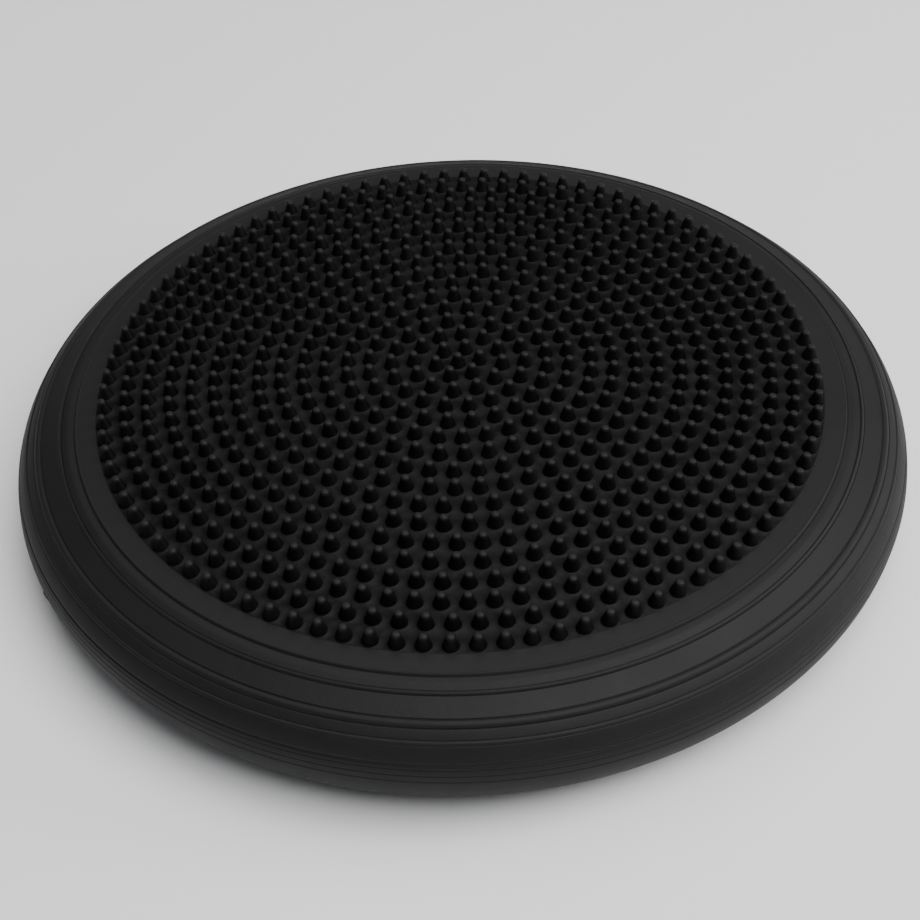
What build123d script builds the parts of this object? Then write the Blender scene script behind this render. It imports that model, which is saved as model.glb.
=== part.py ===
from build123d import *
from math import cos, hypot, pi, radians, sin, sqrt
import os

# An air-filled balance cushion: two flexible PVC mouldings welded together around the rim, with a
# needle valve and its plug in the lower half of the rim. Millimetres, +Z up. The origin is the
# centre of the plane that the cushion rests on, which is the plane of the underside nubs' tips.
# Each moulding is divided where it flexes, so that the cushion can rock and be pressed in.

# Overall
OUTER_RADIUS = 165.0
WALL = 3.0
BODY_GAP = 0.3  # between zones of skin that move apart
PLUG_CLEARANCE = 0.05  # between the plug and what it closes

# Spiked upper panel
SPIKE_HEIGHT = 5.5
SPIKE_BASE_RADIUS = 2.8
SPIKE_TIP_RADIUS = 1.3
SPIKE_PITCH = 8.12  # from one ring of spikes to the next
SPIKE_RINGS = 16
SPIKE_START = 24.0  # the angle that the rings of spikes are turned from
SPIKE_RING_TURN = 44.5  # and how much further each ring is turned than the one inside it
PLACES_PER_RING_STEP = 6  # ring k has 6k spikes or nubs
ROOT_OVERLAP = 0.4  # how far a spike or nub is sunk into its panel

# Underside
NUB_HEIGHT = 2.0
NUB_BASE_RADIUS = 3.6
NUB_TIP_RADIUS = 2.8
NUB_PITCH = 16.0
NUB_RINGS = 8

# Heights of the skin's outer face
LOWER_SKIN = NUB_HEIGHT
SEAM_HEIGHT = 22.7
BORDER_END_HEIGHT = 44.5
BORDER_STEP_HEIGHT = 45.2
PANEL_EDGE_HEIGHT = 45.7
PANEL_CREST_HEIGHT = 51.5

# Rim: an upper and a lower arc that meet at the weld seam, both upright there. The lower one runs
# down to the level of the base panel.
UPPER_ARC = 19.0
LOWER_ARC = SEAM_HEIGHT - LOWER_SKIN
UPPER_CENTRE = OUTER_RADIUS - UPPER_ARC
LOWER_CENTRE = OUTER_RADIUS - LOWER_ARC

# Where one zone of skin ends and the next begins: angles up the rim's arcs, and radii
UPPER_RIM_END = 8.0
SLOPE_START = 66.0  # the upper arc runs into a straight slope here
LOWER_RIM_END = -43.0
BASE_RADIUS = 134.0
PANEL_RADIUS = 133.0
BORDER_END = 143.5
SHOULDER_END = 147.4

# The panel's outer face is a cap of a large sphere, from its edge up to its crest
CROWN = PANEL_CREST_HEIGHT - PANEL_EDGE_HEIGHT
CROWN_RADIUS = (PANEL_RADIUS**2 + CROWN**2) / (2 * CROWN)
CROWN_CENTRE = PANEL_CREST_HEIGHT - CROWN_RADIUS

# Moulded lines around the upper side
BORDER_STEP_RADIUS = 140.8
BORDER_STEP = 0.5
SHOULDER_BEAD_RADIUS = 146.6
SHOULDER_BEAD = 0.5
SIDE_BEADS = [  # angle up the upper arc, bead radius
    (61.0, 1.1),
    (44.5, 0.7),
    (22.0, 0.4),
    (16.5, 0.4),
]
BEAD_PROUD = 0.45  # the share of a bead's radius that its centre lies under the skin

# Needle valve, in the lower half of the rim
VALVE_AZIMUTH = -153.5
VALVE_ARC_ANGLE = -21.0
BOSS_RADIUS = 6.0
BOSS_DEPTH = 5.0  # from the skin's outer face to the boss's flat inner face
HOUSING_NECK_RADIUS = 3.5
HOUSING_FLANGE_RADIUS = 5.8
HOUSING_FLANGE = 1.5
HOUSING_BARREL_RADIUS = 4.4
HOUSING_LENGTH = 14.0
CORE_RADIUS = 2.3
CORE_RECESS = 0.8  # from the housing's mouth to the core
NEEDLE_HOLE_RADIUS = 1.1
NEEDLE_HOLE_DEPTH = 10.5
PLUG_PIN_RADIUS = NEEDLE_HOLE_RADIUS - PLUG_CLEARANCE
PLUG_PIN_LENGTH = 9.0
PLUG_HEAD_RADIUS = 2.75
PLUG_HEAD = 0.5


def arc_point(centre, radius, angle):
    """A point in the section plane at an angle up from the seam plane."""
    return (centre + radius * cos(radians(angle)), SEAM_HEIGHT + radius * sin(radians(angle)))


def turned(edges):
    """A ring or disc, from the closed section that these edges outline."""
    section = make_face(Plane.XZ * edges)
    return revolve(section, Axis.Z)


def polygon(*points):
    """A ring or disc whose section is a polygon of (radius, height) points."""
    return turned(Polyline(*points, close=True))


def arc_band(centre, radius, start, end):
    """A ring of skin along one of the rim's arcs, one wall thick."""
    middle = (start + end) / 2
    inner = radius - WALL
    outline = [
        ThreePointArc(*(arc_point(centre, radius, a) for a in (start, middle, end))),
        Line(arc_point(centre, radius, end), arc_point(centre, inner, end)),
        ThreePointArc(*(arc_point(centre, inner, a) for a in (end, middle, start))),
        Line(arc_point(centre, inner, start), arc_point(centre, radius, start)),
    ]
    return turned(Curve() + outline)


def bead(radius, height, size):
    """A round moulded line that runs all the way round."""
    return Pos(0, 0, height) * Torus(radius, size)


def ring_places(rings, pitch, start=0.0, ring_turn=0.0):
    """The centre, and then each ring's places outwards, with six more places on each ring."""
    places = [(0.0, 0.0)]
    for ring in range(1, rings + 1):
        radius = pitch * ring
        count = PLACES_PER_RING_STEP * ring
        for index in range(count):
            angle = radians(start + ring_turn * ring + 360.0 / count * index)
            places.append((radius * cos(angle), radius * sin(angle)))
    return places


def crown_height(radius):
    """The height of the crowned panel's outer face."""
    return CROWN_CENTRE + sqrt(CROWN_RADIUS**2 - radius**2)


def spike_plane(x, y):
    """A spike's own frame: its origin at the root, and its Z axis square to the crowned face."""
    height = crown_height(hypot(x, y))
    outward = Vector(x, y, height - CROWN_CENTRE).normalized()
    root = Vector(x, y, height) - outward * ROOT_OVERLAP
    return Plane(origin=root, z_dir=outward)


def zone_gap_angle(radius):
    """The angle that the gap between two moving zones takes on an arc."""
    return BODY_GAP / radius * 180.0 / pi


def crown_ball(drop):
    """The ball that the crowned face is a cap of, turned so that the cap is clear of its poles and seam."""
    return Pos(0, 0, CROWN_CENTRE - drop) * Rot(90, 0, 0) * Sphere(CROWN_RADIUS)


def make_spiked_panel():
    column = Pos(0, 0, PANEL_EDGE_HEIGHT) * Cylinder(PANEL_RADIUS, 4 * CROWN)
    panel = (column & crown_ball(0)) - crown_ball(WALL)
    height = SPIKE_HEIGHT + ROOT_OVERLAP
    spike = Cone(SPIKE_BASE_RADIUS, SPIKE_TIP_RADIUS, height, align=(Align.CENTER, Align.CENTER, Align.MIN))
    places = ring_places(SPIKE_RINGS, SPIKE_PITCH, SPIKE_START, SPIKE_RING_TURN)
    spikes = [spike_plane(x, y) * spike for x, y in places]
    return panel.fuse(*spikes)


def make_panel_border():
    start = PANEL_RADIUS + BODY_GAP
    return polygon(
        (start, PANEL_EDGE_HEIGHT - WALL),
        (BORDER_END, BORDER_END_HEIGHT - WALL),
        (BORDER_END, BORDER_END_HEIGHT),
        (BORDER_STEP_RADIUS, BORDER_STEP_HEIGHT - BORDER_STEP),
        (BORDER_STEP_RADIUS, BORDER_STEP_HEIGHT),
        (start, PANEL_EDGE_HEIGHT),
    )


def slope_height(radius):
    """The height of the straight slope, which leaves the upper arc as its tangent."""
    foot_radius, foot_height = arc_point(UPPER_CENTRE, UPPER_ARC, SLOPE_START)
    return foot_height + (foot_radius - radius) / sin(radians(SLOPE_START)) * cos(radians(SLOPE_START))


def make_shoulder_ring():
    end = slope_height(SHOULDER_END)
    ring = polygon(
        (BORDER_END, BORDER_END_HEIGHT - WALL),
        (SHOULDER_END, end - WALL),
        (SHOULDER_END, end),
        (BORDER_END, BORDER_END_HEIGHT),
    )
    share = (SHOULDER_BEAD_RADIUS - BORDER_END) / (SHOULDER_END - BORDER_END)
    top = BORDER_END_HEIGHT + (end - BORDER_END_HEIGHT) * share
    return ring + bead(SHOULDER_BEAD_RADIUS, top - BEAD_PROUD * SHOULDER_BEAD, SHOULDER_BEAD)


def make_upper_side():
    start = UPPER_RIM_END + zone_gap_angle(UPPER_ARC)
    top_radius = SHOULDER_END + BODY_GAP
    inner = UPPER_ARC - WALL
    middle = (start + SLOPE_START) / 2
    outline = [
        ThreePointArc(*(arc_point(UPPER_CENTRE, UPPER_ARC, a) for a in (start, middle, SLOPE_START))),
        Line(arc_point(UPPER_CENTRE, UPPER_ARC, SLOPE_START), (top_radius, slope_height(top_radius))),
        Line((top_radius, slope_height(top_radius)), (top_radius, slope_height(top_radius) - WALL)),
        Line((top_radius, slope_height(top_radius) - WALL), arc_point(UPPER_CENTRE, inner, SLOPE_START)),
        ThreePointArc(*(arc_point(UPPER_CENTRE, inner, a) for a in (SLOPE_START, middle, start))),
        Line(arc_point(UPPER_CENTRE, inner, start), arc_point(UPPER_CENTRE, UPPER_ARC, start)),
    ]
    side = turned(Curve() + outline)
    for angle, size in SIDE_BEADS:
        side += bead(*arc_point(UPPER_CENTRE, UPPER_ARC - BEAD_PROUD * size, angle), size)
    return side


def valve_plane():
    """The valve's own frame: its origin on the skin, and its Z axis out of the cushion."""
    radius, height = arc_point(LOWER_CENTRE, LOWER_ARC, VALVE_ARC_ANGLE)
    azimuth = radians(VALVE_AZIMUTH)
    outward = cos(radians(VALVE_ARC_ANGLE))
    return Plane(
        origin=(radius * cos(azimuth), radius * sin(azimuth), height),
        z_dir=(outward * cos(azimuth), outward * sin(azimuth), sin(radians(VALVE_ARC_ANGLE))),
    )


def valve_cylinder(radius, low, high):
    """A cylinder on the valve's axis, between two depths measured out from the skin."""
    column = Cylinder(radius, high - low, align=(Align.CENTER, Align.CENTER, Align.MIN))
    return valve_plane() * (Pos(0, 0, low) * column)


def make_upper_rim():
    return arc_band(UPPER_CENTRE, UPPER_ARC, 0.0, UPPER_RIM_END)


def make_lower_rim():
    rim = arc_band(LOWER_CENTRE, LOWER_ARC, LOWER_RIM_END, 0.0)
    rim += valve_cylinder(BOSS_RADIUS, -BOSS_DEPTH, -WALL / 2)
    return rim - valve_cylinder(HOUSING_NECK_RADIUS, -2 * BOSS_DEPTH, WALL)


def make_lower_shoulder():
    """The rest of the lower arc, and the flat skin between its foot and the base panel."""
    start = LOWER_RIM_END - zone_gap_angle(LOWER_ARC)
    foot = -90.0
    middle = (start + foot) / 2
    inner = LOWER_ARC - WALL
    base_outside = (BASE_RADIUS, LOWER_SKIN)
    base_inside = (BASE_RADIUS, LOWER_SKIN + WALL)
    outline = [
        ThreePointArc(*(arc_point(LOWER_CENTRE, LOWER_ARC, a) for a in (start, middle, foot))),
        Line(arc_point(LOWER_CENTRE, LOWER_ARC, foot), base_outside),
        Line(base_outside, base_inside),
        Line(base_inside, arc_point(LOWER_CENTRE, inner, foot)),
        ThreePointArc(*(arc_point(LOWER_CENTRE, inner, a) for a in (foot, middle, start))),
        Line(arc_point(LOWER_CENTRE, inner, start), arc_point(LOWER_CENTRE, LOWER_ARC, start)),
    ]
    return turned(Curve() + outline)


def make_base_panel():
    inside = LOWER_SKIN + WALL
    panel = polygon((0, LOWER_SKIN), (BASE_RADIUS, LOWER_SKIN), (BASE_RADIUS, inside), (0, inside))
    height = NUB_HEIGHT + ROOT_OVERLAP
    nub = Cone(NUB_TIP_RADIUS, NUB_BASE_RADIUS, height, align=(Align.CENTER, Align.CENTER, Align.MIN))
    nubs = [Pos(x, y, 0) * nub for x, y in ring_places(NUB_RINGS, NUB_PITCH)]
    return panel.fuse(*nubs)


def make_valve_housing():
    neck = valve_cylinder(HOUSING_NECK_RADIUS, -BOSS_DEPTH, 0)
    flange = valve_cylinder(HOUSING_FLANGE_RADIUS, -BOSS_DEPTH - HOUSING_FLANGE, -BOSS_DEPTH)
    barrel = valve_cylinder(HOUSING_BARREL_RADIUS, -HOUSING_LENGTH, -BOSS_DEPTH)
    return neck + flange + barrel - valve_cylinder(CORE_RADIUS, -HOUSING_LENGTH, 0)


def make_valve_core():
    core = valve_cylinder(CORE_RADIUS, -HOUSING_LENGTH, -CORE_RECESS)
    return core - valve_cylinder(NEEDLE_HOLE_RADIUS, -NEEDLE_HOLE_DEPTH, 0)


def make_valve_plug():
    head = valve_cylinder(PLUG_HEAD_RADIUS, PLUG_CLEARANCE, PLUG_CLEARANCE + PLUG_HEAD)
    return head + valve_cylinder(PLUG_PIN_RADIUS, -PLUG_PIN_LENGTH, PLUG_CLEARANCE)


NODES = {
    "spiked_panel": make_spiked_panel,
    "panel_border": make_panel_border,
    "shoulder_ring": make_shoulder_ring,
    "upper_side": make_upper_side,
    "upper_rim": make_upper_rim,
    "lower_rim": make_lower_rim,
    "lower_shoulder": make_lower_shoulder,
    "base_panel": make_base_panel,
    "valve_housing": make_valve_housing,
    "valve_core": make_valve_core,
    "valve_plug": make_valve_plug,
}

os.makedirs("parts", exist_ok=True)
for name, make in NODES.items():
    export_step(make(), f"parts/{name}.step")
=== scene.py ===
import math
import random

import bmesh
import bpy
import numpy as np
from mathutils import Matrix, Vector
from mathutils.geometry import delaunay_2d_cdt


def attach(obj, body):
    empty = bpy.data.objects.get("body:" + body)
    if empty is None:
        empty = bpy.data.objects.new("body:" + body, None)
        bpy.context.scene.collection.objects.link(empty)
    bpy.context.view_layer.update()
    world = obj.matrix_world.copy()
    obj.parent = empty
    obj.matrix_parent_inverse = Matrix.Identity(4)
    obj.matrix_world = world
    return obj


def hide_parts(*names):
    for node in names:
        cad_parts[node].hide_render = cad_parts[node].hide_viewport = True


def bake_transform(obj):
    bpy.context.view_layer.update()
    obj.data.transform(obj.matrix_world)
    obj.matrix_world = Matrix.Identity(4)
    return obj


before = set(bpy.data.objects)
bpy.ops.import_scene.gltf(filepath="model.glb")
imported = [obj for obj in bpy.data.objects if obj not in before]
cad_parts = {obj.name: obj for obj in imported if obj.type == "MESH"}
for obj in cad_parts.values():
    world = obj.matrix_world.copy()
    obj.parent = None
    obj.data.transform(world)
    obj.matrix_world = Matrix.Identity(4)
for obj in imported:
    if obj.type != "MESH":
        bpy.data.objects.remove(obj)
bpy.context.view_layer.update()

# A black PVC balance cushion. Blender's units are metres, so every size below is in millimetres
# times MM. The heights and radii of the skin's zones are the ones that the CAD nodes have. The
# upper moulding has no gaps, so one skin stands for the panel, the border and the shoulder, and
# another for the side and the upper rim.
MM = 0.001

SEGMENTS = 360  # around the whole cushion
WALL = 3.0 * MM

# Heights of the skin's outer face
LOWER_SKIN = 2.0 * MM
SEAM = 22.7 * MM
BORDER_END_HEIGHT = 44.5 * MM
BORDER_STEP_HEIGHT = 45.2 * MM
PANEL_EDGE_HEIGHT = 45.7 * MM
PANEL_CREST_HEIGHT = 51.5 * MM

# Radii
OUTER_RADIUS = 165.0 * MM
PANEL_RADIUS = 133.0 * MM
BASE_RADIUS = 134.0 * MM
BORDER_STEP_RADIUS = 140.8 * MM
BORDER_STEP = 0.5 * MM
BORDER_END = 143.5 * MM
SHOULDER_END = 147.4 * MM

# Rim arcs, in degrees up from the seam
UPPER_ARC = 19.0 * MM
LOWER_ARC = SEAM - LOWER_SKIN
UPPER_CENTRE = OUTER_RADIUS - UPPER_ARC
LOWER_CENTRE = OUTER_RADIUS - LOWER_ARC
SLOPE_START = 66.0
UPPER_RIM_END = 8.0
LOWER_RIM_END = -43.0
LOWER_ARC_FOOT = -90.0

# Where a flexing zone's skin moves wholly with the stiff part beyond it
PANEL_STIFF_RADIUS = PANEL_RADIUS + 0.4 * MM
SHOULDER_STIFF_ANGLE = 84.0
RIM_STIFF_ANGLE = LOWER_RIM_END - 1.0

# The spiked panel is a cap of a large sphere
CROWN = PANEL_CREST_HEIGHT - PANEL_EDGE_HEIGHT
CROWN_RADIUS = (PANEL_RADIUS**2 + CROWN**2) / (2 * CROWN)
CROWN_CENTRE = PANEL_CREST_HEIGHT - CROWN_RADIUS

# Spikes and nubs
SPIKE_HEIGHT = 5.5 * MM
SPIKE_HEIGHT_SPREAD = 0.012  # of its height, up or down
SPIKE_PITCH = 8.12 * MM
SPIKE_SIDES = 16
SPIKE_RINGS = 16
SPIKE_START = 24.0
SPIKE_RING_TURN = 44.5  # degrees from each ring to the next
NUB_HEIGHT = 2.0 * MM
NUB_PITCH = 16.0 * MM
NUB_SIDES = 20
NUB_RINGS = 8

# Moulded lines. The side's are in degrees up its arc.
LINE_STEP = 0.12 * MM
SHOULDER_LINE = 146.5 * MM
HIGH_RIDGE = 60.9
LOW_RIDGE = 43.0
CREASE = 21.6
FINE_LINES = (16.5, 9.5)

# Valve
VALVE_AZIMUTH = -153.5
VALVE_ARC_ANGLE = -21.0
BOSS_DEPTH = 5.0 * MM
HOUSING_NECK_RADIUS = 3.5 * MM
HOUSING_FLANGE_RADIUS = 5.8 * MM
HOUSING_FLANGE = 1.5 * MM
HOUSING_BARREL_RADIUS = 4.4 * MM
HOUSING_LENGTH = 14.0 * MM
CORE_RADIUS = 2.3 * MM
PLUG_PIN_RADIUS = 1.0 * MM
PLUG_PIN_LENGTH = 9.0 * MM
PLUG_HEAD_RADIUS = 2.75 * MM

# Texture detail, in features per metre
CLOUD_SCALE = 28.0
DIMPLE_SCALE = 260.0
GRAIN_SCALE = 1500.0

# Camera, with its pitch down from level and its roll in degrees
CAMERA_PLACE = Vector((-0.8, -460.6, 433.4)) * MM
CAMERA_PITCH = 43.01
CAMERA_ROLL = 2.56
CAMERA_LENS = 63.7  # mm, on a 36 mm sensor


# ---------------------------------------------------------------- camera


def make_camera():
    """Looks down on the cushion from the front."""
    pitch = math.radians(CAMERA_PITCH)
    roll = math.radians(CAMERA_ROLL)
    forward = Vector((0, math.cos(pitch), -math.sin(pitch)))
    level_right = Vector((1, 0, 0))
    level_down = Vector((0, -math.sin(pitch), -math.cos(pitch)))
    right = level_right * math.cos(roll) + level_down * math.sin(roll)
    down = level_down * math.cos(roll) - level_right * math.sin(roll)
    data = bpy.data.cameras.new("camera")
    data.sensor_width = 36.0
    data.lens = CAMERA_LENS
    data.clip_start = 0.01
    camera = bpy.data.objects.new("camera", data)
    bpy.context.scene.collection.objects.link(camera)
    turn = Matrix((right, -down, -forward)).transposed().to_4x4()
    camera.matrix_world = Matrix.Translation(CAMERA_PLACE) @ turn
    bpy.context.scene.camera = camera


make_camera()


# ---------------------------------------------------------------- sections


def arc_point(centre, radius, angle):
    """The (radius, height) point at an angle on one of the rim's arcs."""
    a = math.radians(angle)
    return (centre + radius * math.cos(a), SEAM + radius * math.sin(a))


def arc(centre, radius, start, end, step):
    """Points along one of the rim's arcs, about every step of degrees."""
    count = max(2, int(abs(end - start) / step) + 1)
    angles = [start + (end - start) * i / (count - 1) for i in range(count)]
    return [arc_point(centre, radius, a) for a in angles]


def slope_height(radius):
    """The straight slope above the upper arc, which leaves it as its tangent."""
    foot_radius, foot_height = arc_point(UPPER_CENTRE, UPPER_ARC, SLOPE_START)
    return foot_height + (foot_radius - radius) / math.tan(math.radians(SLOPE_START))


def resample(points, step):
    """The same open line with a point about every step, and each point's distance along it."""
    corners = np.array(points)
    lengths = np.concatenate([[0.0], np.cumsum(np.hypot(*np.diff(corners, axis=0).T))])
    count = max(2, int(round(lengths[-1] / step)) + 1)
    along = np.linspace(0, lengths[-1], count)
    radii = np.interp(along, lengths, corners[:, 0])
    heights = np.interp(along, lengths, corners[:, 1])
    return np.column_stack([radii, heights]), along


def outward_normals(line):
    """Unit normals to the right of an open line, which is outwards for one that climbs the side."""
    ahead = np.gradient(line, axis=0)
    ahead /= np.hypot(ahead[:, 0], ahead[:, 1])[:, None]
    return np.column_stack([ahead[:, 1], -ahead[:, 0]])


def bell(x, centre, width):
    """A smooth bump, 1 high."""
    return np.exp(-(((x - centre) / width) ** 2))


def rib(along, centre, width, height):
    """A raised line with a rounded top and a tight crease on each side."""
    x = np.abs(along - centre) / (width / 2)
    top = np.where(x < 1, np.cos(np.clip(x, 0, 1) * math.pi / 2) ** 0.8, 0)
    return height * (top - 0.5 * bell(x, 1.12, 0.16))


def groove(along, centre, width, depth):
    """A fine line pressed into the skin."""
    return -depth * bell(along, centre, width / 2)


def step_down(along, centre, width, height):
    """A small step from a higher to a lower surface, with a lip above it and a crease at its foot."""
    x = (along - centre) / width
    edge = np.clip(x + 0.5, 0, 1)
    lip = 0.18 * bell(x, -0.9, 0.45)
    crease = 0.40 * bell(x, 0.75, 0.3)
    return height * (lip - edge - crease)


def closed_section(outer, inner):
    """The outer line, then back along the inner one."""
    return [tuple(p) for p in outer] + [tuple(p) for p in inner][::-1]


# ---------------------------------------------------------------- meshes


def link(mesh, name):
    """Puts a mesh in the scene as a piece."""
    piece = bpy.data.objects.new(name, mesh)
    bpy.context.scene.collection.objects.link(piece)
    return piece


def smooth_by_angle(mesh, limit=40.0):
    """Smooth shading, with the edges sharper than the limit kept as edges."""
    bm = bmesh.new()
    bm.from_mesh(mesh)
    bmesh.ops.recalc_face_normals(bm, faces=bm.faces)
    for face in bm.faces:
        face.smooth = True
    for edge in bm.edges:
        edge.smooth = len(edge.link_faces) == 2 and edge.calc_face_angle(0.0) < math.radians(limit)
    bm.to_mesh(mesh)
    bm.free()


def lathe(name, section, segments=SEGMENTS, place=None):
    """A closed ring turned from a closed section of (radius, height) points."""
    section = np.array(section)
    turns = np.linspace(0, 2 * math.pi, segments, endpoint=False)
    count = len(section)
    vertices = [
        (r * math.cos(t), r * math.sin(t), z)
        for t in turns
        for r, z in section
    ]
    faces = []
    for i in range(segments):
        j = (i + 1) % segments
        for k in range(count):
            m = (k + 1) % count
            faces.append((i * count + k, j * count + k, j * count + m, i * count + m))
    mesh = bpy.data.meshes.new(name)
    mesh.from_pydata(vertices, [], faces)
    bm = bmesh.new()
    bm.from_mesh(mesh)
    bmesh.ops.remove_doubles(bm, verts=bm.verts, dist=0.0001 * MM)
    bm.to_mesh(mesh)
    bm.free()
    if place is not None:
        mesh.transform(place)
    smooth_by_angle(mesh)
    return link(mesh, name)


def ring_places(rings, pitch, start=0.0, ring_turn=0.0):
    """The centre, and then each ring's places outwards, with six more on each ring."""
    places = [(0.0, 0.0)]
    for ring in range(1, rings + 1):
        count = 6 * ring
        for i in range(count):
            a = math.radians(start + ring_turn * ring + 360.0 / count * i)
            places.append((pitch * ring * math.cos(a), pitch * ring * math.sin(a)))
    return places


def crown_height(radius):
    """The height of the crowned face between the spikes."""
    return CROWN_CENTRE + math.sqrt(CROWN_RADIUS**2 - radius**2)


def crown_frame(x, y):
    """Two unit vectors along the crowned face at a place, and the outward normal there."""
    normal = Vector((x, y, crown_height(math.hypot(x, y)) - CROWN_CENTRE)).normalized()
    along = Vector((1, 0, 0)) - normal * normal.x
    along.normalize()
    return along, normal.cross(along), normal


def flat_frame(x, y):
    """The same for the underside, where every stud points straight down."""
    return Vector((1, 0, 0)), Vector((0, 1, 0)), Vector((0, 0, -1))


def unit_circle(count):
    """Points evenly round a circle of radius 1."""
    angles = [2 * math.pi * k / count for k in range(count)]
    return [(math.cos(a), math.sin(a)) for a in angles]


def join_loops(faces, loop, following):
    """A band of faces from one loop of points to the next."""
    for k in range(len(loop)):
        m = (k + 1) % len(loop)
        faces.append((loop[k], loop[m], following[m], following[k]))


def close_loop(faces, loop, tip):
    """A fan of faces from a loop of points to a single one."""
    for k in range(len(loop)):
        faces.append((loop[k], loop[(k + 1) % len(loop)], tip))


def flat_around_studs(radius, places, foot, rings, pitch, sides):
    """The flat of a round panel, seen from above, as triangles around the studs' feet.

    Gives its points and triangles, the loop of points around each stud's foot, and the loop around
    the panel.
    """
    points = [(x + foot * c, y + foot * d) for x, y in places for c, d in unit_circle(sides)]
    loops = [range(i * sides, (i + 1) * sides) for i in range(len(places))]
    loops.append(range(len(points), len(points) + SEGMENTS))
    points += [(radius * c, radius * d) for c, d in unit_circle(SEGMENTS)]
    edges = [(loop[k], loop[(k + 1) % len(loop)]) for loop in loops for k in range(len(loop))]
    # Loose points halfway between the rings keep the triangles there from growing long
    loose_turn = 0.31
    for ring in range(rings):
        halfway = (ring + 0.5) * pitch
        count = 6 * (ring + 1)
        for k in range(count):
            a = 2 * math.pi * (k + loose_turn) / count
            points.append((halfway * math.cos(a), halfway * math.sin(a)))
    flat, _, triangles, origin, _, _ = delaunay_2d_cdt([Vector(p) for p in points], edges, [], 0, 1e-9)
    new_index = {old: new for new, merged in enumerate(origin) for old in merged}
    *feet, rim = [[new_index[old] for old in loop] for loop in loops]
    stud_of = {index: i for i, loop in enumerate(feet) for index in loop}
    faces = []
    # A triangle with all its corners on one stud's foot is under that stud, and is left out
    for triangle in triangles:
        owners = {stud_of.get(index, -1 - index) for index in triangle}
        if len(owners) > 1:
            faces.append(tuple(triangle))
    return flat, faces, feet, rim


def studded_panel(name, radius, places, rings, pitch, sides, profile_of, skin, frame_at, edge, limit):
    """A round panel with a turned stud at each place, as one closed mesh.

    profile_of() gives the next stud's (radius, rise) points from its foot to its tip, skin(r) the
    panel's height, and frame_at(x, y) the stud's own axes. edge is the section from the panel's rim
    outwards and back under the panel, whose last point is on the axis.
    """
    profiles = [profile_of() for _ in places]
    foot = profiles[0][0][0]
    flat, faces, feet, rim = flat_around_studs(radius, places, foot, rings, pitch, sides)
    vertices = [(x, y, skin(math.hypot(x, y))) for x, y in flat]
    circle = unit_circle(sides)
    for (x, y), profile, loop in zip(places, profiles, feet):
        base = Vector((x, y, skin(math.hypot(x, y))))
        along, across, out = frame_at(x, y)
        for r, rise in profile[1:-1]:
            following = range(len(vertices), len(vertices) + sides)
            for c, d in circle:
                vertices.append(tuple(base + along * (r * c) + across * (r * d) + out * rise))
            join_loops(faces, loop, following)
            loop = following
        _, height = profile[-1]
        vertices.append(tuple(base + out * height))
        close_loop(faces, loop, len(vertices) - 1)
    loop = rim
    for r, z in edge[:-1]:
        following = range(len(vertices), len(vertices) + SEGMENTS)
        vertices += [(r * c, r * d, z) for c, d in unit_circle(SEGMENTS)]
        join_loops(faces, loop, following)
        loop = following
    vertices.append((0, 0, edge[-1][1]))
    close_loop(faces, loop, len(vertices) - 1)
    mesh = bpy.data.meshes.new(name)
    mesh.from_pydata(vertices, [], faces)
    smooth_by_angle(mesh, limit)
    return link(mesh, name)


# ---------------------------------------------------------------- materials


class Nodes:
    """A short way to add and join shader nodes."""

    def __init__(self, name):
        self.material = bpy.data.materials.new(name)
        self.material.use_nodes = True
        self.tree = self.material.node_tree
        self.tree.nodes.clear()
        self.shader = self.add("ShaderNodeBsdfPrincipled")
        output = self.add("ShaderNodeOutputMaterial")
        self.join(self.shader.outputs["BSDF"], output.inputs["Surface"])

    def add(self, kind, **settings):
        node = self.tree.nodes.new(kind)
        for key, value in settings.items():
            setattr(node, key, value)
        return node

    def join(self, output, socket):
        self.tree.links.new(output, socket)

    def noise(self, scale, detail, roughness, distortion=0.0):
        """Noise in the object's own metres."""
        place = self.add("ShaderNodeTexCoord")
        node = self.add("ShaderNodeTexNoise")
        node.inputs["Scale"].default_value = scale
        node.inputs["Detail"].default_value = detail
        node.inputs["Roughness"].default_value = roughness
        node.inputs["Distortion"].default_value = distortion
        self.join(place.outputs["Object"], node.inputs["Vector"])
        return node.outputs["Fac"]

    def ramp(self, source, stops):
        """A colour that runs from the first of two stops to the second."""
        node = self.add("ShaderNodeValToRGB")
        for element, (position, colour) in zip(node.color_ramp.elements, stops):
            element.position = position
            element.color = colour
        self.join(source, node.inputs["Fac"])
        return node.outputs["Color"]

    def span(self, source, low, high, to_low, to_high):
        """A value from low to high, turned into one from to_low to to_high."""
        node = self.add("ShaderNodeMapRange")
        node.inputs["From Min"].default_value = low
        node.inputs["From Max"].default_value = high
        node.inputs["To Min"].default_value = to_low
        node.inputs["To Max"].default_value = to_high
        self.join(source, node.inputs["Value"])
        return node.outputs["Result"]

    def bump(self, height, strength, distance, below=None):
        """Fine relief, on top of the relief below it if there is one."""
        node = self.add("ShaderNodeBump")
        node.inputs["Strength"].default_value = strength
        node.inputs["Distance"].default_value = distance
        self.join(height, node.inputs["Height"])
        if below is not None:
            self.join(below, node.inputs["Normal"])
        return node.outputs["Normal"]


def grey(value):
    """A very slightly warm grey."""
    return (value, value * 0.985, value * 0.965, 1.0)


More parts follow.
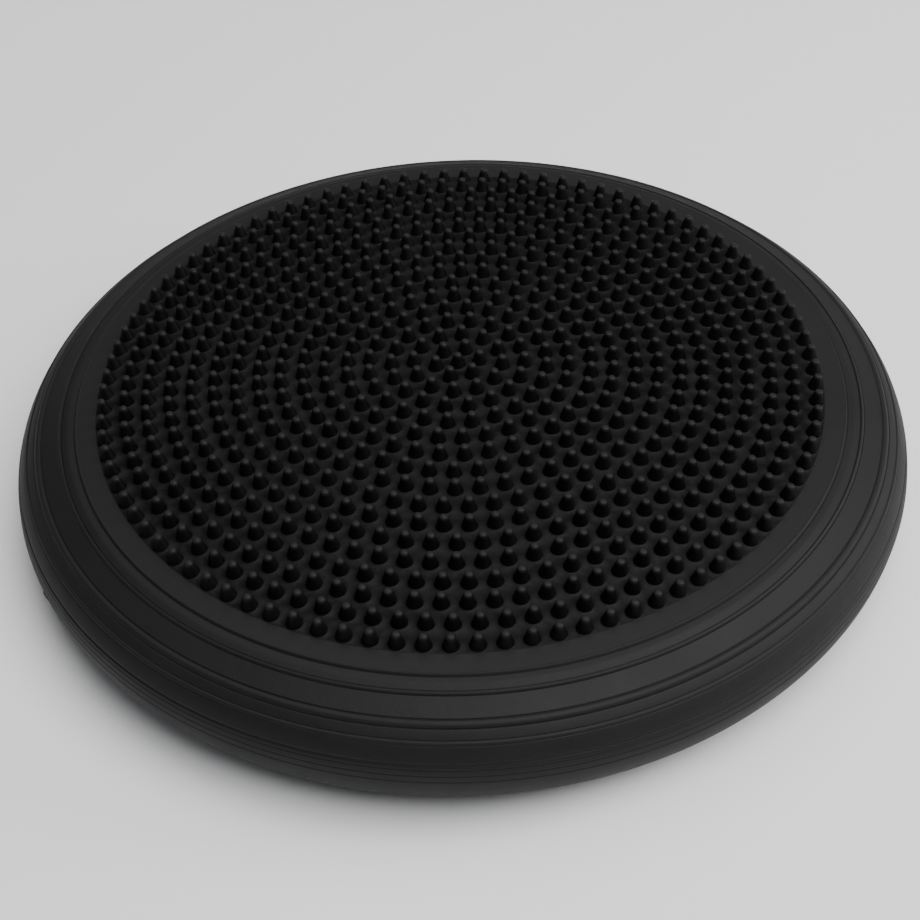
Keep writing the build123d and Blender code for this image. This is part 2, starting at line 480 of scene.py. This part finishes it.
def pvc(name, dark, light, smooth, rough, grain, specular, tip_highlight=0.0):
    """Black moulded PVC with a fine grain.

    Its grey runs from dark to light, and its roughness from smooth to rough, in faint clouds. Where
    a tip grey is given, the tips of the spikes fade to it: a painted highlight.
    """
    n = Nodes(name)
    cloud = n.noise(CLOUD_SCALE, 5.0, 0.6, 0.4)
    speckle = n.noise(GRAIN_SCALE, 3.0, 0.6)
    dimples = n.noise(DIMPLE_SCALE, 3.0, 0.5)

    colour = n.ramp(cloud, [(0.32, grey(dark)), (0.68, grey(light))])
    if tip_highlight > 0:
        # Painted highlight: the top of each spike fades to a paler grey, standing in for the overhead
        # light on the tips.
        rise = n.add("ShaderNodeAttribute", attribute_name="rise")
        tip_highlight_mix = n.add("ShaderNodeMixRGB")
        n.join(n.span(rise.outputs["Fac"], 0.70, 0.97, 0.0, 1.0), tip_highlight_mix.inputs["Fac"])
        n.join(colour, tip_highlight_mix.inputs["Color1"])
        tip_highlight_mix.inputs["Color2"].default_value = grey(tip_highlight)
        colour = tip_highlight_mix.outputs["Color"]
    n.join(colour, n.shader.inputs["Base Color"])

    mixed = n.add("ShaderNodeMath", operation="MULTIPLY_ADD")
    n.join(speckle, mixed.inputs[0])
    mixed.inputs[1].default_value = 0.35
    n.join(cloud, mixed.inputs[2])
    n.join(n.span(mixed.outputs[0], 0.4, 0.95, smooth, rough), n.shader.inputs["Roughness"])

    fine = n.bump(speckle, grain, 0.12 * MM)
    broad = n.bump(dimples, grain * 0.5, 0.3 * MM, below=fine)
    n.join(broad, n.shader.inputs["Normal"])
    n.shader.inputs["Specular IOR Level"].default_value = specular
    return n.material


SKIN = pvc(
    "black_pvc",
    dark=0.0045, light=0.0065, smooth=0.56, rough=0.70, grain=0.50, specular=0.25,
)
# The spiked field gets a much darker grey than the border. This is painted shade, standing in for the
# shade that the spikes cast between and on each other. Its tips get a paler grey, which is a painted
# highlight.
SPIKED = pvc(
    "black_pvc_spiked",
    dark=0.0012, light=0.0022, smooth=0.48, rough=0.62, grain=0.15, specular=0.15, tip_highlight=0.011,
)
VALVE = pvc(
    "valve_rubber",
    dark=0.006, light=0.010, smooth=0.55, rough=0.68, grain=0.15, specular=0.4,
)
PLUG = pvc(
    "plug_plastic",
    dark=0.008, light=0.012, smooth=0.35, rough=0.48, grain=0.10, specular=0.4,
)


def finish_piece(piece, material, nodes, body=None):
    """Gives a piece its material, and says which CAD nodes it replaces and which body it rides on."""
    piece.data.materials.clear()
    piece.data.materials.append(material)
    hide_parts(*nodes)
    if body is not None:
        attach(piece, body)


def bend(piece, share_of):
    """Bakes a piece of skin's place into its points and works out each point's share between two bodies,
    but bends nothing.

    share_of(radii, heights) is 0 or less on the first body, and 1 or more on the second. It takes
    the place of the straight run from start to end.
    """
    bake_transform(piece)
    points = np.array([v.co for v in piece.data.vertices], float)
    share = np.clip(share_of(np.hypot(points[:, 0], points[:, 1]), points[:, 2]), 0, 1)


def arc_angle(radii, heights, centre):
    """Degrees up from the seam, about the middle of one of the rim's arcs."""
    return np.degrees(np.arctan2(heights - SEAM, radii - centre))


# ---------------------------------------------------------------- upper moulding

chance = random.Random(11)


def spike_profile():
    """A blunt cone with a fillet at its foot and a rounded tip."""
    tall = SPIKE_HEIGHT * (1 + chance.uniform(-SPIKE_HEIGHT_SPREAD, SPIKE_HEIGHT_SPREAD))
    return [
        (3.00 * MM, 0.0),
        (2.82 * MM, 0.14 * MM),
        (2.72 * MM, 0.45 * MM),
        (1.60 * MM, tall - 1.20 * MM),
        (1.44 * MM, tall - 0.62 * MM),
        (1.18 * MM, tall - 0.26 * MM),
        (0.76 * MM, tall - 0.06 * MM),
        (0.0, tall),
    ]


def collar():
    """The section of the border and the shoulder, outwards from the panel's rim.

    It ends with the moulding's inner face, back to the axis.
    """
    path = [
        (PANEL_RADIUS, PANEL_EDGE_HEIGHT),
        (BORDER_STEP_RADIUS, BORDER_STEP_HEIGHT),
        (BORDER_END, BORDER_END_HEIGHT + BORDER_STEP * 0.9),
        (SHOULDER_END, slope_height(SHOULDER_END) + BORDER_STEP),
    ]
    line, _ = resample(path, LINE_STEP)
    smoothing_passes = 30
    for _ in range(smoothing_passes):
        line[1:-1] = (line[:-2] + 2 * line[1:-1] + line[2:]) / 4
    radii = line[:, 0]
    offset = step_down(radii, BORDER_STEP_RADIUS, width=0.5 * MM, height=BORDER_STEP)
    offset += rib(radii, SHOULDER_LINE, width=1.25 * MM, height=0.40 * MM)
    line[:, 1] += offset
    line[0] = (PANEL_RADIUS, PANEL_EDGE_HEIGHT)
    line[-1] = (SHOULDER_END, slope_height(SHOULDER_END))
    under = [
        (SHOULDER_END, slope_height(SHOULDER_END) - WALL),
        (BORDER_END, BORDER_END_HEIGHT - WALL),
        (PANEL_RADIUS, PANEL_EDGE_HEIGHT - WALL),
        (0.0, PANEL_CREST_HEIGHT - WALL),
    ]
    return [tuple(p) for p in line[1:]] + under


def store_rise(piece):
    """Each point's height above the crowned face, as a share of a spike, for the painted highlight on the
    tips.
    """
    rise = piece.data.attributes.new("rise", "FLOAT", "POINT")
    shares = []
    for vertex in piece.data.vertices:
        x, y, z = vertex.co
        shares.append((z - crown_height(min(math.hypot(x, y), PANEL_RADIUS))) / SPIKE_HEIGHT)
    rise.data.foreach_set("value", shares)


def make_top():
    """The spiked panel, the border and the shoulder."""
    top = studded_panel(
        "upper_moulding_top",
        radius=PANEL_RADIUS,
        places=ring_places(SPIKE_RINGS, SPIKE_PITCH, SPIKE_START, SPIKE_RING_TURN),
        rings=SPIKE_RINGS,
        pitch=SPIKE_PITCH,
        sides=SPIKE_SIDES,
        profile_of=spike_profile,
        skin=crown_height,
        frame_at=crown_frame,
        edge=collar(),
        limit=42.0,
    )
    nodes = ["spiked_panel", "panel_border", "shoulder_ring"]
    finish_piece(top, SKIN, nodes)
    # Faces inside the panel take the darker spiked grey, which is painted shade among the spikes.
    top.data.materials.append(SPIKED)
    spiked_index = 1
    for face in top.data.polygons:
        if math.hypot(face.center.x, face.center.y) < PANEL_RADIUS:
            face.material_index = spiked_index
    store_rise(top)

    def share_of(radii, heights):
        return (BORDER_END - radii) / (BORDER_END - PANEL_STIFF_RADIUS)

    bend(top, share_of)


def make_side():
    """The side from the weld seam up to the shoulder, with its moulded lines."""
    path = arc(UPPER_CENTRE, UPPER_ARC, 0.0, SLOPE_START, 0.5)
    path.append((SHOULDER_END, slope_height(SHOULDER_END)))
    line, along = resample(path, LINE_STEP)
    offset = rib(along, math.radians(HIGH_RIDGE) * UPPER_ARC, width=2.6 * MM, height=0.48 * MM)
    offset += rib(along, math.radians(LOW_RIDGE) * UPPER_ARC, width=1.5 * MM, height=0.30 * MM)
    offset += groove(along, math.radians(CREASE) * UPPER_ARC, width=0.9 * MM, depth=0.34 * MM)
    for angle in FINE_LINES:
        offset += groove(along, math.radians(angle) * UPPER_ARC, width=0.45 * MM, depth=0.16 * MM)
    weld_bead = rib(along, 0.0, width=1.1 * MM, height=0.12 * MM)
    offset += weld_bead
    normals = outward_normals(line)
    shaped = line + normals * offset[:, None]
    shaped[-1] = line[-1]
    inner = line - normals * WALL
    inner[-1] = line[-1] - np.array([0, WALL])
    # The inner face has no lines, so it needs far fewer points
    inner = np.concatenate([inner[:-1:8], inner[-1:]])
    ring = lathe("upper_moulding_side", closed_section(shaped, inner))
    finish_piece(ring, SKIN, ["upper_side", "upper_rim"])

    def share_of(radii, heights):
        angles = arc_angle(radii, heights, UPPER_CENTRE)
        return (angles - UPPER_RIM_END) / (SHOULDER_STIFF_ANGLE - UPPER_RIM_END)

    bend(ring, share_of)


make_top()
make_side()

# ---------------------------------------------------------------- lower moulding


def valve_place():
    """The valve's own frame: its origin on the skin, and +Z out of the cushion."""
    azimuth, tilt = math.radians(VALVE_AZIMUTH), math.radians(VALVE_ARC_ANGLE)
    radius, height = arc_point(LOWER_CENTRE, LOWER_ARC, VALVE_ARC_ANGLE)
    origin = Vector((radius * math.cos(azimuth), radius * math.sin(azimuth), height))
    axis = Vector((math.cos(tilt) * math.cos(azimuth), math.cos(tilt) * math.sin(azimuth), math.sin(tilt)))
    return Matrix.Translation(origin) @ axis.to_track_quat("Z", "Y").to_matrix().to_4x4()


def make_lower_rim():
    """The rim below the weld seam, with the hole for the valve."""
    line = np.array(arc(LOWER_CENTRE, LOWER_ARC, LOWER_RIM_END, 0.0, 1.0))
    inner = np.array(arc(LOWER_CENTRE, LOWER_ARC - WALL, LOWER_RIM_END, 0.0, 4.0))
    ring = lathe("lower_rim_skin", closed_section(line, inner))
    reach = 4 * MM
    bore = [(0, -reach), (HOUSING_NECK_RADIUS, -reach), (HOUSING_NECK_RADIUS, reach), (0, reach)]
    cutter = lathe("valve_cutter", bore, 48, valve_place())
    cut = ring.modifiers.new("valve_hole", "BOOLEAN")
    cut.operation = "DIFFERENCE"
    cut.object = cutter
    bpy.context.view_layer.update()
    graph = bpy.context.evaluated_depsgraph_get()
    mesh = bpy.data.meshes.new_from_object(ring.evaluated_get(graph))
    ring.modifiers.clear()
    ring.data = mesh
    bpy.data.objects.remove(cutter)
    smooth_by_angle(ring.data)
    finish_piece(ring, SKIN, ["lower_rim"], "rim")


def make_lower_shoulder():
    """The rest of the lower arc, and the flat skin in to the base panel."""
    line = arc(LOWER_CENTRE, LOWER_ARC, LOWER_RIM_END, LOWER_ARC_FOOT, 1.0)
    line.append((BASE_RADIUS, LOWER_SKIN))
    inner = arc(LOWER_CENTRE, LOWER_ARC - WALL, LOWER_RIM_END, LOWER_ARC_FOOT, 3.0)
    inner.append((BASE_RADIUS, LOWER_SKIN + WALL))
    ring = lathe("lower_shoulder_skin", closed_section(line, inner))
    finish_piece(ring, SKIN, ["lower_shoulder"])

    def share_of(radii, heights):
        angles = arc_angle(radii, heights, LOWER_CENTRE)
        return (angles - LOWER_ARC_FOOT) / (RIM_STIFF_ANGLE - LOWER_ARC_FOOT)

    bend(ring, share_of)


def nub_profile():
    """A low round nub with a flat tip."""
    return [
        (4.0 * MM, 0.0),
        (3.72 * MM, 0.10 * MM),
        (3.5 * MM, 0.40 * MM),
        (3.0 * MM, 1.65 * MM),
        (2.85 * MM, 1.88 * MM),
        (2.5 * MM, NUB_HEIGHT),
        (0.0, NUB_HEIGHT),
    ]


def make_base():
    """The flat panel underneath, with its nubs."""
    inside = LOWER_SKIN + WALL
    base = studded_panel(
        "base_panel_skin",
        radius=BASE_RADIUS,
        places=ring_places(NUB_RINGS, NUB_PITCH),
        rings=NUB_RINGS,
        pitch=NUB_PITCH,
        sides=NUB_SIDES,
        profile_of=nub_profile,
        skin=lambda radius: LOWER_SKIN,
        frame_at=flat_frame,
        edge=[(BASE_RADIUS, inside), (0.0, inside)],
        limit=50.0,
    )
    finish_piece(base, SKIN, ["base_panel"], "base")


make_lower_rim()
make_lower_shoulder()
make_base()

# ---------------------------------------------------------------- valve


def make_housing():
    """A grommet with a rounded mouth level with the skin, and a flange and a barrel inside."""
    flange_end = -BOSS_DEPTH - HOUSING_FLANGE
    section = [
        (CORE_RADIUS, -HOUSING_LENGTH),
        (CORE_RADIUS, -0.35 * MM),
        (2.5 * MM, -0.08 * MM),
        (2.75 * MM, 0.0),
        (3.2 * MM, 0.0),
        (3.42 * MM, -0.08 * MM),
        (HOUSING_NECK_RADIUS, -0.3 * MM),
        (HOUSING_NECK_RADIUS, -BOSS_DEPTH),
        (HOUSING_FLANGE_RADIUS, -BOSS_DEPTH),
        (HOUSING_FLANGE_RADIUS, flange_end),
        (HOUSING_BARREL_RADIUS, flange_end),
        (HOUSING_BARREL_RADIUS, -HOUSING_LENGTH),
    ]
    housing = lathe("valve_housing_body", section, 64, valve_place())
    finish_piece(housing, VALVE, ["valve_housing"], "rim")


def colour_core():
    """The core is the CAD's own piece, and only needs its material."""
    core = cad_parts["valve_core"]
    core.data.materials.clear()
    core.data.materials.append(VALVE)


def make_plug():
    """A pin with a rounded end, under a thin dished head."""
    section = [
        (0.0, -PLUG_PIN_LENGTH),
        (0.7 * MM, 0.2 * MM - PLUG_PIN_LENGTH),
        (PLUG_PIN_RADIUS, 0.8 * MM - PLUG_PIN_LENGTH),
        (PLUG_PIN_RADIUS, 0.05 * MM),
        (2.45 * MM, 0.05 * MM),
        (2.7 * MM, 0.16 * MM),
        (PLUG_HEAD_RADIUS, 0.32 * MM),
        (2.6 * MM, 0.48 * MM),
        (2.3 * MM, 0.55 * MM),
        (1.2 * MM, 0.5 * MM),
        (0.0, 0.44 * MM),
    ]
    plug = lathe("valve_plug_pin", section, 48, valve_place())
    finish_piece(plug, PLUG, ["valve_plug"], "plug")


make_housing()
colour_core()
make_plug()

# ---------------------------------------------------------------- floor and light


def make_floor():
    """A plain pale floor just under the nubs."""
    bpy.ops.mesh.primitive_plane_add(size=8.0, location=(0, 0, -0.2 * MM))
    floor = bpy.context.object
    floor.name = "floor"
    paint = Nodes("pale_floor")
    paint.shader.inputs["Base Color"].default_value = (0.86, 0.86, 0.86, 1)
    paint.shader.inputs["Roughness"].default_value = 0.85
    floor.data.materials.append(paint.material)


def area_light(name, place, target, size, power):
    """A round soft light that faces its target."""
    data = bpy.data.lights.new(name, "AREA")
    data.shape = "DISK"
    data.size = size
    data.energy = power
    lamp = bpy.data.objects.new(name, data)
    bpy.context.scene.collection.objects.link(lamp)
    direction = Vector(target) - Vector(place)
    lamp.matrix_world = Matrix.Translation(place) @ direction.to_track_quat("-Z", "Y").to_matrix().to_4x4()


def make_light():
    """A dim room with soft lights overhead, at the right and high at the back."""
    world = bpy.data.worlds.new("studio")
    world.use_nodes = True
    background = world.node_tree.nodes["Background"]
    background.inputs["Color"].default_value = (0.9, 0.92, 0.95, 1)
    background.inputs["Strength"].default_value = 0.20
    bpy.context.scene.world = world
    area_light("overhead", (0.55, -0.40, 1.5), (0, 0, 0), size=1.6, power=36)
    area_light("right_side", (1.6, 0.1, 0.7), (0, 0, 0.02), size=0.8, power=14)
    area_light("high_back", (-0.1, 0.75, 1.7), (0, 0, 0.02), size=1.6, power=12)


make_floor()
make_light()
